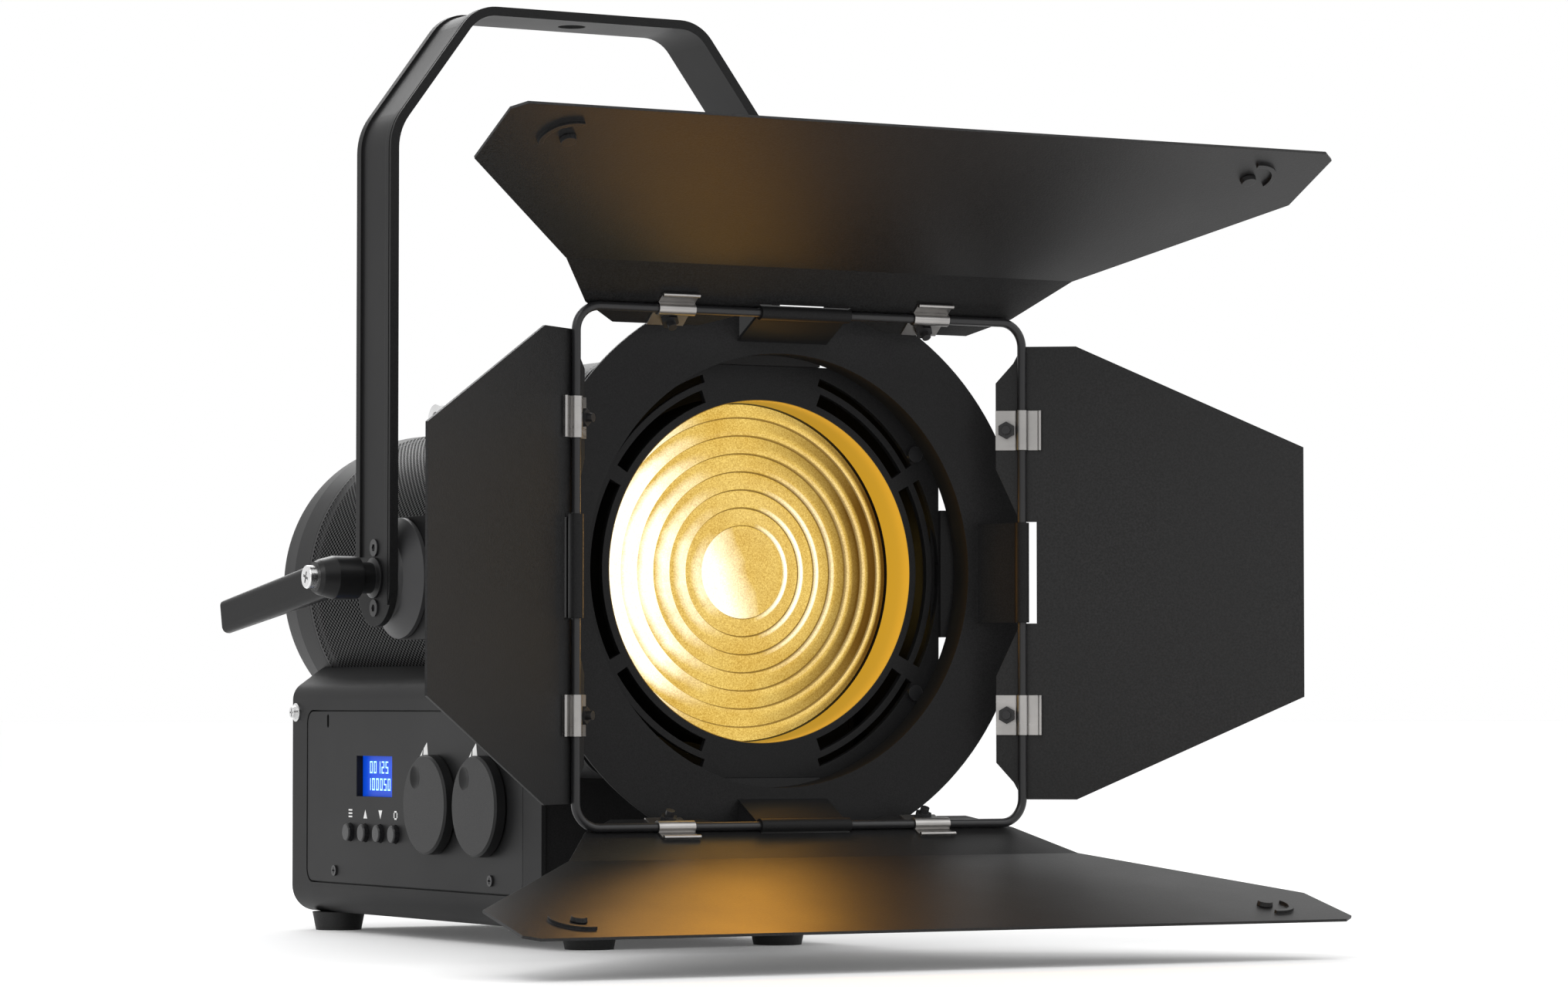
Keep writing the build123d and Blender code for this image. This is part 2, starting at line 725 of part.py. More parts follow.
def yoke_arch(outside):
    """Filled arch shape, grown outwards by a distance from the inner faces."""
    slope = radians(yoke_bend_angle)
    half_side = (radians(90) - slope) / 2
    top_x = arm_inner_x - (yoke_top_z - yoke_bend_z) / tan(slope)
    x0 = arm_inner_x + outside
    bend = (x0, yoke_bend_z + outside * tan(half_side))
    top = (top_x + outside * tan(slope / 2), yoke_top_z + outside)
    with BuildSketch() as arch:
        with BuildLine():
            Polyline((x0, arm_foot_z), bend, top, (-top[0], top[1]), (-bend[0], bend[1]),
                     (-x0, arm_foot_z), close=True)
        make_face()
        fillet(vertices().group_by(Axis.Y)[1], bend_radii[0] + outside)
        fillet(vertices().group_by(Axis.Y)[-1], bend_radii[1] + outside)
    return arch.sketch


arm_front_y = pivot_y - arm_w / 2
arm_back_y = pivot_y + arm_w / 2
rib_spans = ((arm_front_y, 1.5), (arm_front_y + 2.4, 3.9), (arm_back_y - 4.6, 4.6))

with BuildPart() as yoke_bar:
    with BuildSketch(across(arm_front_y)):
        add(yoke_arch(arm_t))
    extrude(amount=-arm_w)
    for y, width in rib_spans:
        with BuildSketch(across(y)):
            add(yoke_arch(arm_t + rib_h))
        extrude(amount=-width)
    with BuildSketch(across(arm_front_y)):
        add(yoke_arch(0))
    extrude(amount=-arm_w, mode=Mode.SUBTRACT)
    # ribs stop short of the pivot, and the feet of the arms are rounded
    for side in (-1, 1):
        with BuildSketch(beside(side * (arm_inner_x + arm_t))):
            with Locations((pivot_y + arm_w / 4 + 3, beam_z - 12)):
                Rectangle(arm_w / 2 + 6, 44)
            with Locations((pivot_y, beam_z - 30)):
                Rectangle(arm_w + 2, 34)
            with Locations((pivot_y, beam_z)):
                Circle(10.8)
        extrude(amount=side * 3, mode=Mode.SUBTRACT)
        with BuildSketch(beside(side * (arm_inner_x - 1))):
            with Locations((pivot_y, arm_foot_z)):
                Rectangle(arm_w + 2, 2 * arm_end_r)
            with Locations((pivot_y, arm_foot_z + arm_end_r)):
                Circle(arm_end_r, mode=Mode.SUBTRACT)
        extrude(amount=side * 7, mode=Mode.SUBTRACT)
        with BuildSketch(beside(side * (arm_inner_x - 1))):
            with Locations((pivot_y, beam_z)):
                Circle(5.0 + pin_gap)
            with Locations((pivot_y, beam_z - 14.2), (pivot_y, beam_z + 14.2)):
                Circle(2.5)
        extrude(amount=side * 7, mode=Mode.SUBTRACT)
    with BuildSketch(Plane.XY.offset(yoke_top_z - 1)):
        with Locations((0, pivot_y)):
            Circle(hanging_hole_r)
    extrude(amount=8, mode=Mode.SUBTRACT)
save(yoke_bar, "yoke_bar")

with BuildPart() as disc:
    with BuildSketch(Plane.XY.offset(beam_z)):
        with BuildLine():
            Polyline(
                (bracket_x + 0.3, pivot_y + 5.0 + pin_gap), (bracket_x + 0.3, pivot_y + 28.6),
                (bracket_x + 2.4, pivot_y + 28.6), (arm_inner_x - 2.4, pivot_y + 20.0),
                (arm_inner_x, pivot_y + 19.2), (arm_inner_x, pivot_y + 5.0 + pin_gap),
                close=True,
            )
        make_face()
    revolve(axis=Axis((0, pivot_y, beam_z), (1, 0, 0)))
with BuildPart() as yoke_discs:
    add(disc)
    mirror(disc.part, about=Plane.YZ)
save(yoke_discs, "yoke_discs")

with BuildPart() as yoke_screws:
    for side in (-1, 1):
        with BuildSketch(beside(side * arm_inner_x)):
            with Locations((pivot_y, beam_z - 14.2), (pivot_y, beam_z + 14.2)):
                Circle(2.5)
        extrude(amount=side * arm_t)
        with BuildSketch(beside(side * (arm_inner_x + arm_t))):
            with Locations((pivot_y, beam_z - 14.2), (pivot_y, beam_z + 14.2)):
                Circle(4.1)
        extrude(amount=side * 0.8)
        with BuildSketch(beside(side * (arm_inner_x + arm_t + 0.8))):
            with Locations((pivot_y, beam_z - 14.2), (pivot_y, beam_z + 14.2)):
                RegularPolygon(1.9, 6)
        extrude(amount=-side * 0.7, mode=Mode.SUBTRACT)
save(yoke_screws, "yoke_screws")

# ---------------------------------------------------------------- clamping levers
hub_start_x = arm_inner_x + arm_t + 0.1
handle_tip = (146.0, pivot_y + 77.0, beam_z - 17.6)
handle_root = (hub_end_x - 9.0, pivot_y, beam_z)

with BuildPart() as lever:
    with BuildSketch(Plane.XY.offset(beam_z)):
        with BuildLine():
            Polyline(
                (hub_start_x, pivot_y), (hub_start_x, pivot_y + 9.6), (hub_start_x + 1.2, pivot_y + 9.6),
                (hub_start_x + 2.4, pivot_y + 7.4), (hub_start_x + 8.5, pivot_y + 7.4),
                (hub_start_x + 9.5, pivot_y + 10.0), (hub_end_x - 9.0, pivot_y + 10.2),
                (hub_end_x - 2.0, pivot_y + 8.4), (hub_end_x, pivot_y + 7.2), (hub_end_x, pivot_y),
                close=True,
            )
        make_face()
    revolve(axis=Axis((0, pivot_y, beam_z), (1, 0, 0)))
    reach = Vector(*handle_tip) - Vector(*handle_root)
    with BuildSketch(Plane(origin=handle_root, x_dir=(0, -reach.Z, reach.Y), z_dir=reach.normalized())):
        RectangleRounded(18.0, 11.0, 4.5)
    with BuildSketch(Plane(origin=handle_tip, x_dir=(0, -reach.Z, reach.Y), z_dir=reach.normalized())):
        RectangleRounded(16.0, 7.0, 3.0)
    loft()
    with BuildSketch(beside(hub_start_x - 1)):
        with Locations((pivot_y, beam_z)):
            Circle(5.0 + pin_gap)
    extrude(amount=stud_end_x + 1.5 - hub_start_x + 1, mode=Mode.SUBTRACT)
    with BuildSketch(beside(hub_end_x)):
        with Locations((pivot_y, beam_z)):
            Circle(2.5)
    extrude(amount=-6, mode=Mode.SUBTRACT)

with BuildPart() as lever_screw:
    with BuildSketch(beside(hub_end_x)):
        with Locations((pivot_y, beam_z)):
            Circle(5.5)
    extrude(amount=4.6)
    fillet(lever_screw.edges().sort_by(Axis.X)[-1], 0.8)
    with BuildSketch(beside(hub_end_x + 4.6)):
        with Locations((pivot_y, beam_z)):
            Rectangle(5.6, 1.2, rotation=20)
            Rectangle(1.2, 5.6, rotation=20)
    extrude(amount=-1.8, mode=Mode.SUBTRACT)
    with BuildSketch(beside(hub_end_x)):
        with Locations((pivot_y, beam_z)):
            Circle(2.5)
    extrude(amount=-6)

for side in ("right", "left"):
    with BuildPart() as placed_lever:
        if side == "right":
            add(lever)
        else:
            mirror(lever.part, about=Plane.YZ)
    save(placed_lever, f"{side}_lever")
    with BuildPart() as placed_screw:
        if side == "right":
            add(lever_screw)
        else:
            mirror(lever_screw.part, about=Plane.YZ)
    save(placed_screw, f"{side}_lever_screw")

# ---------------------------------------------------------------- barn-door frame
sleeve_half = 22.6
tab_root = 101.5
tab_t = 1.2
sleeve_r = rod_r + 0.05 + 1.2

tab_end = (rod_half - 1.8, rod_y + 2.2)
tab_length = sqrt((tab_end[0] - tab_root) ** 2 + (ring_y - tab_end[1]) ** 2)
tab_step = ((ring_y - tab_end[1]) / tab_length * tab_t, (tab_end[0] - tab_root) / tab_length * tab_t)

with BuildPart() as tab:
    with BuildSketch(Plane.XY.offset(beam_z - sleeve_half)):
        with BuildLine():
            Polyline(
                (tab_root, ring_y), tab_end, (tab_end[0] + tab_step[0], tab_end[1] + tab_step[1]),
                (tab_root + tab_step[0], ring_y + tab_step[1] + 0.4), (tab_root, ring_y + ring_t),
                (tab_root - 3, ring_y + ring_t), (tab_root - 3, ring_y), close=True,
            )
        make_face()
        with Locations((rod_half, rod_y)):
            Circle(sleeve_r)
            Circle(rod_r + 0.05, mode=Mode.SUBTRACT)
    extrude(amount=2 * sleeve_half)

with BuildPart() as window:
    with Locations((tab_root + 20, ring_y, beam_z)):
        Box(40, 10, 2 * sleeve_half - 1.4)

with BuildPart() as ring_plate:
    with BuildSketch(across(ring_y)):
        with Locations((0, beam_z)):
            Circle(ring_r)
            Circle(ring_opening_r, mode=Mode.SUBTRACT)
    extrude(amount=-ring_t)
    for angle in (0, 90, 180, 270):
        add(turned(window, angle), mode=Mode.SUBTRACT)
    for angle in (0, 90, 180, 270):
        add(turned(tab, angle))
    tube_along_beam(ring_y, bead_y + bead_t - ring_y, ring_opening_r + 1.0, ring_opening_r)
    tube_along_beam(bead_y, bead_t, bead_r, ring_opening_r)
save(ring_plate, "ring_plate")

rod_straight = 2 * (rod_half - rod_corner_r)
rod_bend_centre = (rod_half - rod_corner_r, rod_y, beam_z + rod_straight / 2)
with BuildPart() as rod_side:
    with BuildSketch(Plane.XY.offset(beam_z - rod_straight / 2)):
        with Locations((rod_half, rod_y)):
            Circle(rod_r)
    extrude(amount=rod_straight)
    with BuildSketch(Plane.XY.offset(beam_z + rod_straight / 2)):
        with Locations((rod_half, rod_y)):
            Circle(rod_r)
    revolve(axis=Axis(rod_bend_centre, (0, -1, 0)), revolution_arc=90)
with BuildPart() as rod_frame:
    for angle in (0, 90, 180, 270):
        add(turned(rod_side, angle))
save(rod_frame, "rod_frame")

# ---------------------------------------------------------------- barn doors
ahead = Vector(0, -1, 0)
door_n = rod_r + pin_gap                    # inner face of a door, from the rod's centre
flap_v = 27.0                               # crease, measured out from the rod
inner_v = -12.0
wide_notch_v = 3.2
side_notch_v = 6.5
notch_inner = 47.0
notch_outer = 23.0
ear_pivot = (168.0, 118.5)
ear_gap = 0.3
ear_t = 1.0
ear_pin_r = 2.0


def door_axes(outward, angle):
    """Directions of a door at an opening angle: out from its rod, and out of the beam."""
    w = Vector(*outward)
    along = ahead * cos(radians(angle)) + w * sin(radians(angle))
    normal = ahead * -sin(radians(angle)) + w * cos(radians(angle))
    return along, normal


def door_plane(outward, angle, v=0.0, n=0.0, bend=0.0):
    """Plane at v and n on a door's flap; beyond a crease it leans towards the beam by bend."""
    along, normal = door_axes(outward, angle)
    origin = Vector(0, rod_y, beam_z) + Vector(*outward) * rod_half + along * v + normal * n
    leaning, facing = door_axes(outward, angle - bend)
    return Plane(origin=origin, x_dir=leaning.cross(facing), z_dir=facing)


def mirrored(half):
    """Closed outline from the points of its right half, given from the rod outwards."""
    return half + [(-x, y) for x, y in reversed(half)]


def fastener_holes(plane, depth):
    with BuildSketch(plane) as holes:
        with Locations((-clip_at, -7.0), (clip_at, -7.0)):
            Circle(2.0)
    extrude(holes.sketch, amount=depth, mode=Mode.SUBTRACT)


def wide_door(outward, angle, label):
    """Top or bottom door: creased sheet with swept corners and two ear pivots."""
    inner = [(notch_outer, wide_notch_v), (notch_outer, -1.0), (notch_inner, inner_v), (90.0, inner_v), (108.0, 0.0), (128.0, flap_v)]
    main = [(128.0, 0.0), (202.0, 72.0), (202.0, 109.5), (196.0, 114.5)]
    with BuildPart() as door:
        with BuildSketch(door_plane(outward, angle, 0, door_n)):
            Polygon(*mirrored(inner), align=None)
        extrude(amount=door_t)
        face = door_plane(outward, angle, flap_v, door_n + door_t, door_bend)
        with BuildSketch(face):
            Polygon(*mirrored(main), align=None)
        extrude(amount=-door_t)
        fastener_holes(door_plane(outward, angle, 0, door_n), door_t)
        spots = [(-ear_pivot[0], ear_pivot[1] - flap_v), (ear_pivot[0], ear_pivot[1] - flap_v)]
        with BuildSketch(face):
            with Locations(*spots):
                Circle(ear_pin_r + pin_gap)
        extrude(amount=-door_t, mode=Mode.SUBTRACT)
        # raised guide lips beside the ear pivots, pressed towards the beam
        for side in (-1, 1):
            centre = (side * ear_pivot[0], ear_pivot[1] - flap_v)
            start = -20 if side > 0 else 80
            with BuildSketch(face.offset(-door_t)):
                add(arc_slot(10.6, 12.8, start, start + 120, centre))
            extrude(amount=-1.4)
    save(door, label)
    return face


def side_door(outward, angle, label):
    """Left or right door: flat sheet that narrows towards its outer edge."""
    outline = [(notch_outer, side_notch_v), (notch_outer, -1.0), (notch_inner, inner_v), (86.0, inner_v), (95.0, -4.0),
               (102.6, 0.0), (102.6, 24.5), (56.2, 127.0)]
    with BuildPart() as door:
        with BuildSketch(door_plane(outward, angle, 0, door_n)):
            Polygon(*mirrored(outline), align=None)
        extrude(amount=door_t)
        fastener_holes(door_plane(outward, angle, 0, door_n), door_t)
    save(door, label)


def door_clips(outward, angle, label):
    """Two spring-steel clips that wrap the rod from the beam side."""
    t = 0.8
    bore = rod_r + pin_gap
    with BuildPart() as clips:
        for side in (-1, 1):
            base = door_plane(outward, angle)
            across_rod = Plane(origin=base.origin + base.x_dir * (side * clip_at - clip_w / 2),
                               x_dir=base.y_dir, z_dir=base.x_dir)
            with BuildSketch(across_rod):
                with Locations((inner_v / 2 - 0.5, door_n - t / 2)):
                    Rectangle(-inner_v - 1.0, t)
                with Locations((4.0, door_n - t / 2)):
                    Rectangle(8.0, t)
                with Locations((8.0, door_n - t * 1.6)):
                    Circle(t * 1.1)
                with Locations((0, 0)):
                    Circle(bore + t)
                    Circle(bore, mode=Mode.SUBTRACT)
                with Locations((0, door_n + 2.0)):
                    Rectangle(12, 4.0, mode=Mode.SUBTRACT)
                with Locations((0, door_n)):
                    Rectangle(3.0, 2.4, mode=Mode.SUBTRACT)
            extrude(amount=clip_w)
        with BuildSketch(door_plane(outward, angle, 0, door_n)):
            with Locations((-clip_at, -7.0), (clip_at, -7.0)):
                Circle(2.0)
        extrude(amount=-t - 1, mode=Mode.SUBTRACT)
    save(clips, label)


def clip_fasteners(outward, angle, label):
    """Black pan-head screws with hexagon nuts, one for each clip."""
    with BuildPart() as fasteners:
        spots = [(-clip_at, -7.0), (clip_at, -7.0)]
        with BuildSketch(door_plane(outward, angle, 0, door_n + door_t)):
            with Locations(*spots):
                Circle(3.6)
        extrude(amount=2.0, taper=12)
        with BuildSketch(door_plane(outward, angle, 0, door_n + door_t)):
            with Locations(*spots):
                Circle(2.0)
        extrude(amount=-8.0)
        with BuildSketch(door_plane(outward, angle, 0, door_n - 0.8)):
            with Locations(*spots):
                RegularPolygon(4.0, 6)
        extrude(amount=-3.2)
    save(fasteners, label)


def door_ear(face, side, label):
    """Small triangular wing on the back of a door, riveted near its outer corner."""
    px, py = side * ear_pivot[0], ear_pivot[1] - flap_v
    with BuildPart() as ear:
        with BuildSketch(face.offset(ear_gap)):
            with BuildLine():
                Polyline(
                    (px + side * 18, py + 9), (px + side * 26, py - 8),
                    (px - side * 8, py - 52), (px - side * 52, py - 40), (px - side * 46, py + 9),
                    close=True,
                )
            make_face()
        extrude(amount=ear_t)
        with BuildSketch(face.offset(ear_gap + ear_t)):
            with Locations((px, py)):
                Circle(4.2)
        extrude(amount=1.0)
        with BuildSketch(face.offset(ear_gap)):
            with Locations((px, py)):
                Circle(ear_pin_r)
        extrude(amount=-(ear_gap + door_t + 0.3))
        with BuildSketch(face.offset(-door_t - 0.3)):
            with Locations((px, py)):
                Circle(3.6)
        extrude(amount=-2.0, taper=10)
    save(ear, label)


sides = {
    "top": ((0, 0, 1), top_angle),
    "bottom": ((0, 0, -1), bottom_angle),
    "left": ((-1, 0, 0), side_angle),
    "right": ((1, 0, 0), side_angle),
}
for name, (outward, angle) in sides.items():
    if name in ("top", "bottom"):
        outer_face = wide_door(outward, angle, f"{name}_door")
        for hand in (-1, 1):
            at_right = (outer_face.x_dir.X * hand) > 0
            door_ear(outer_face, hand, f"{name}_{'right' if at_right else 'left'}_ear")
    else:
        side_door(outward, angle, f"{name}_door")
    door_clips(outward, angle, f"{name}_door_clips")
    clip_fasteners(outward, angle, f"{name}_door_screws")
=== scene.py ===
import json
import math

import bpy
import numpy as np
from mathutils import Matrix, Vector


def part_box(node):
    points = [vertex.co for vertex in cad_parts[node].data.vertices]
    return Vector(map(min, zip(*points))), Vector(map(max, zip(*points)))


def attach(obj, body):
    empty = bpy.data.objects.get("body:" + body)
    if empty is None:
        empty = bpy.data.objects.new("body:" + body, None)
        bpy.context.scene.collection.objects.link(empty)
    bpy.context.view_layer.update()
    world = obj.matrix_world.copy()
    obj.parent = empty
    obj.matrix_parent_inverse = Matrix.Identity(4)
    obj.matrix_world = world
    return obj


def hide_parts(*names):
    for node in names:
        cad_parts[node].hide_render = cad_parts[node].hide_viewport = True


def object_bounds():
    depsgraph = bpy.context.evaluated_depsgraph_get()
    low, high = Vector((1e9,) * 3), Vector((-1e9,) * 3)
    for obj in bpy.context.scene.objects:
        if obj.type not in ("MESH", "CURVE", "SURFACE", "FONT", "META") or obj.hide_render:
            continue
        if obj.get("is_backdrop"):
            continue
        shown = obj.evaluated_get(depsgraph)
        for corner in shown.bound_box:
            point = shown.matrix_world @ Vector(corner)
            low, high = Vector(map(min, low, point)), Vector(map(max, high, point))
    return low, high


# Looks of the fresnel spotlight. Metres, +Z up, the light shines towards -Y.

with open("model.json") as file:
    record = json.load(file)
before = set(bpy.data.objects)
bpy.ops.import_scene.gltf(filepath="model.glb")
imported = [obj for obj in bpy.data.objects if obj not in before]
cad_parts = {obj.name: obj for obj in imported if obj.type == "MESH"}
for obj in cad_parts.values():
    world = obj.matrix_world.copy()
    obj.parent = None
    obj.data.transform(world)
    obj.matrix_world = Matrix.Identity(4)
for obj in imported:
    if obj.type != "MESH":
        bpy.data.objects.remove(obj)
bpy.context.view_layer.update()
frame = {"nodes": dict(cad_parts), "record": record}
nodes = frame["nodes"]


def mid(node):
    """Middle of a CAD node's box."""
    low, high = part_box(node)
    return (low + high) / 2


# ---------------------------------------------------------------- places read from the frame
beam_z = mid("mesh_tube").z
rod_y = mid("rod_frame").y
tube_low, tube_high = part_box("mesh_tube")
tube_r = (tube_high.x - tube_low.x) / 2
lens_low, lens_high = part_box("fresnel_lens")
lens_r = (lens_high.x - lens_low.x) / 2
panel_face_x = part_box("control_panel")[0].x
lcd_low, lcd_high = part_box("lcd_display")
button_boxes = [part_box(f"button_{i}") for i in range(1, 5)]
knob_boxes = [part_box(f"dimmer_knob_{i}") for i in (1, 2)]


# ---------------------------------------------------------------- shader building
class Shader:
    """Short-hand for one procedural material on a Principled shader."""

    def __init__(self, name):
        self.material = bpy.data.materials.new(name)
        self.material.use_nodes = True
        self.tree = self.material.node_tree
        self.bsdf = self.tree.nodes["Principled BSDF"]
        self.place = self.tree.nodes.new("ShaderNodeTexCoord").outputs["Object"]

    def node(self, kind, **settings):
        made = self.tree.nodes.new(kind)
        for key, value in settings.items():
            setattr(made, key, value)
        return made

    def put(self, socket, value):
        """Links an output to a socket, or sets its plain value."""
        if isinstance(value, bpy.types.NodeSocket):
            self.tree.links.new(value, socket)
        else:
            socket.default_value = value

    def set(self, **inputs):
        for key, value in inputs.items():
            self.put(self.bsdf.inputs[key.replace("_", " ")], value)
        return self

    def stretched(self, scale):
        made = self.node("ShaderNodeVectorMath", operation="MULTIPLY")
        self.put(made.inputs[0], self.place)
        made.inputs[1].default_value = scale
        return made.outputs[0]

    def noise(self, scale, detail=2.0, roughness=0.5, place=None):
        made = self.node("ShaderNodeTexNoise")
        self.put(made.inputs["Vector"], place or self.place)
        made.inputs["Scale"].default_value = scale
        made.inputs["Detail"].default_value = detail
        made.inputs["Roughness"].default_value = roughness
        return made.outputs["Fac"]

    def math(self, operation, a, b=0.0, c=0.0):
        made = self.node("ShaderNodeMath", operation=operation)
        for socket, value in zip(made.inputs, (a, b, c)):
            self.put(socket, value)
        return made.outputs[0]

    def span(self, value, low, high, out_low=0.0, out_high=1.0):
        made = self.node("ShaderNodeMapRange")
        for key, number in (("Value", value), ("From Min", low), ("From Max", high),
                            ("To Min", out_low), ("To Max", out_high)):
            self.put(made.inputs[key], number)
        return made.outputs["Result"]

    def blend(self, factor, a, b):
        made = self.node("ShaderNodeMix", data_type="RGBA")
        self.put(made.inputs["Factor"], factor)
        for socket, value in ((made.inputs[6], a), (made.inputs[7], b)):
            self.put(socket, (*value, 1.0) if isinstance(value, tuple) and len(value) == 3 else value)
        return made.outputs[2]

    def edge(self, radius):
        """Normal of a surface whose sharp edges are slightly rounded."""
        made = self.node("ShaderNodeBevel", samples=4)
        made.inputs["Radius"].default_value = radius
        return made.outputs["Normal"]

    def bump(self, height, strength, distance, normal=None):
        made = self.node("ShaderNodeBump")
        made.inputs["Strength"].default_value = strength
        made.inputs["Distance"].default_value = distance
        self.put(made.inputs["Height"], height)
        if normal is not None:
            self.put(made.inputs["Normal"], normal)
        return made.outputs["Normal"]

    def split(self, vector):
        made = self.node("ShaderNodeSeparateXYZ")
        self.put(made.inputs[0], vector)
        return made.outputs

    def about_beam(self):
        """X, Y, height above the beam axis, and distance from it."""
        x, y, z = self.split(self.place)
        height = self.math("SUBTRACT", z, beam_z)
        squares = self.math("ADD", self.math("MULTIPLY", x, x), self.math("MULTIPLY", height, height))
        return x, y, height, self.math("SQRT", squares)


def shade(value, by):
    return tuple(channel * by for channel in value)


def coated(name, colour, grain=1500.0, depth=0.00006, rough=0.5, contrast=0.35, edge=0.0004, gloss=0.12):
    """Shader of a baked powder coat: fine pimples, uneven sheen and slightly rubbed tone."""
    s = Shader(name)
    fine = s.noise(grain, 3.0, 0.6)
    cloud = s.noise(9.0, 4.0, 0.55)
    speck = s.span(fine, 0.35, 0.7)
    tone = s.blend(speck, shade(colour, 1 - contrast), shade(colour, 1 + contrast))
    tone = s.blend(s.span(cloud, 0.3, 0.7, 0.0, 0.5), tone, shade(colour, 1.12))
    roughness = s.span(s.math("MULTIPLY_ADD", cloud, 0.6, s.math("MULTIPLY", fine, 0.4)), 0.3, 0.7,
                       rough - 0.06, rough + 0.08)
    normal = s.bump(fine, 0.55, depth, s.edge(edge) if edge else None)
    return s.set(Base_Color=tone, Roughness=roughness, Normal=normal, Specular_IOR_Level=gloss)


def powder_coat(name, colour, **more):
    return coated(name, colour, **more).material


def moulded(name, colour, rough=0.42, grain=2600.0, depth=0.00002, edge=0.0003, gloss=0.4):
    """Moulded plastic with a faint spark-eroded grain."""
    s = Shader(name)
    fine = s.noise(grain, 2.0, 0.5)
    cloud = s.noise(30.0, 3.0, 0.5)
    tone = s.blend(s.span(cloud, 0.3, 0.7), shade(colour, 0.88), shade(colour, 1.15))
    roughness = s.span(fine, 0.3, 0.7, rough - 0.05, rough + 0.07)
    normal = s.bump(fine, 0.4, depth, s.edge(edge))
    return s.set(Base_Color=tone, Roughness=roughness, Normal=normal, Specular_IOR_Level=gloss).material


def metal(name, colour, rough, stretch, depth=0.00001, edge=0.0002):
    """Bare metal with grinding lines along one direction."""
    s = Shader(name)
    lines = s.noise(60.0, 4.0, 0.7, s.stretched(stretch))
    stain = s.noise(60.0, 3.0, 0.5)
    tone = s.blend(s.span(stain, 0.35, 0.7), shade(colour, 0.86), shade(colour, 1.08))
    roughness = s.span(lines, 0.3, 0.7, rough - 0.07, rough + 0.09)
    normal = s.bump(lines, 0.35, depth, s.edge(edge))
    return s.set(Base_Color=tone, Metallic=1.0, Roughness=roughness, Normal=normal).material


def plain_detail(name, colour, rough=0.5, glow=0.0):
    """Printed or lit marks: nearly even colour with a faint grain."""
    s = Shader(name)
    fine = s.noise(1800.0, 2.0)
    tone = s.blend(s.span(fine, 0.3, 0.7), shade(colour, 0.9), colour)
    s.set(Base_Color=tone, Roughness=rough)
    if glow:
        s.set(Emission_Color=tone, Emission_Strength=glow)
    return s.material


# ---------------------------------------------------------------- lens with painted light
step_radii = [float(r) for r in np.linspace(0.021, 0.070, 7)]   # dome edge, then each ring's outer edge
dome_r = step_radii[0]
ring_width = step_radii[1] - step_radii[0]
edge_blend = 0.0002
gold = (0.66, 0.40, 0.065)
pale_gold = (0.86, 0.62, 0.17)
painted_shade_brown = (0.085, 0.036, 0.004)
painted_white_light = (1.6, 1.45, 1.05)


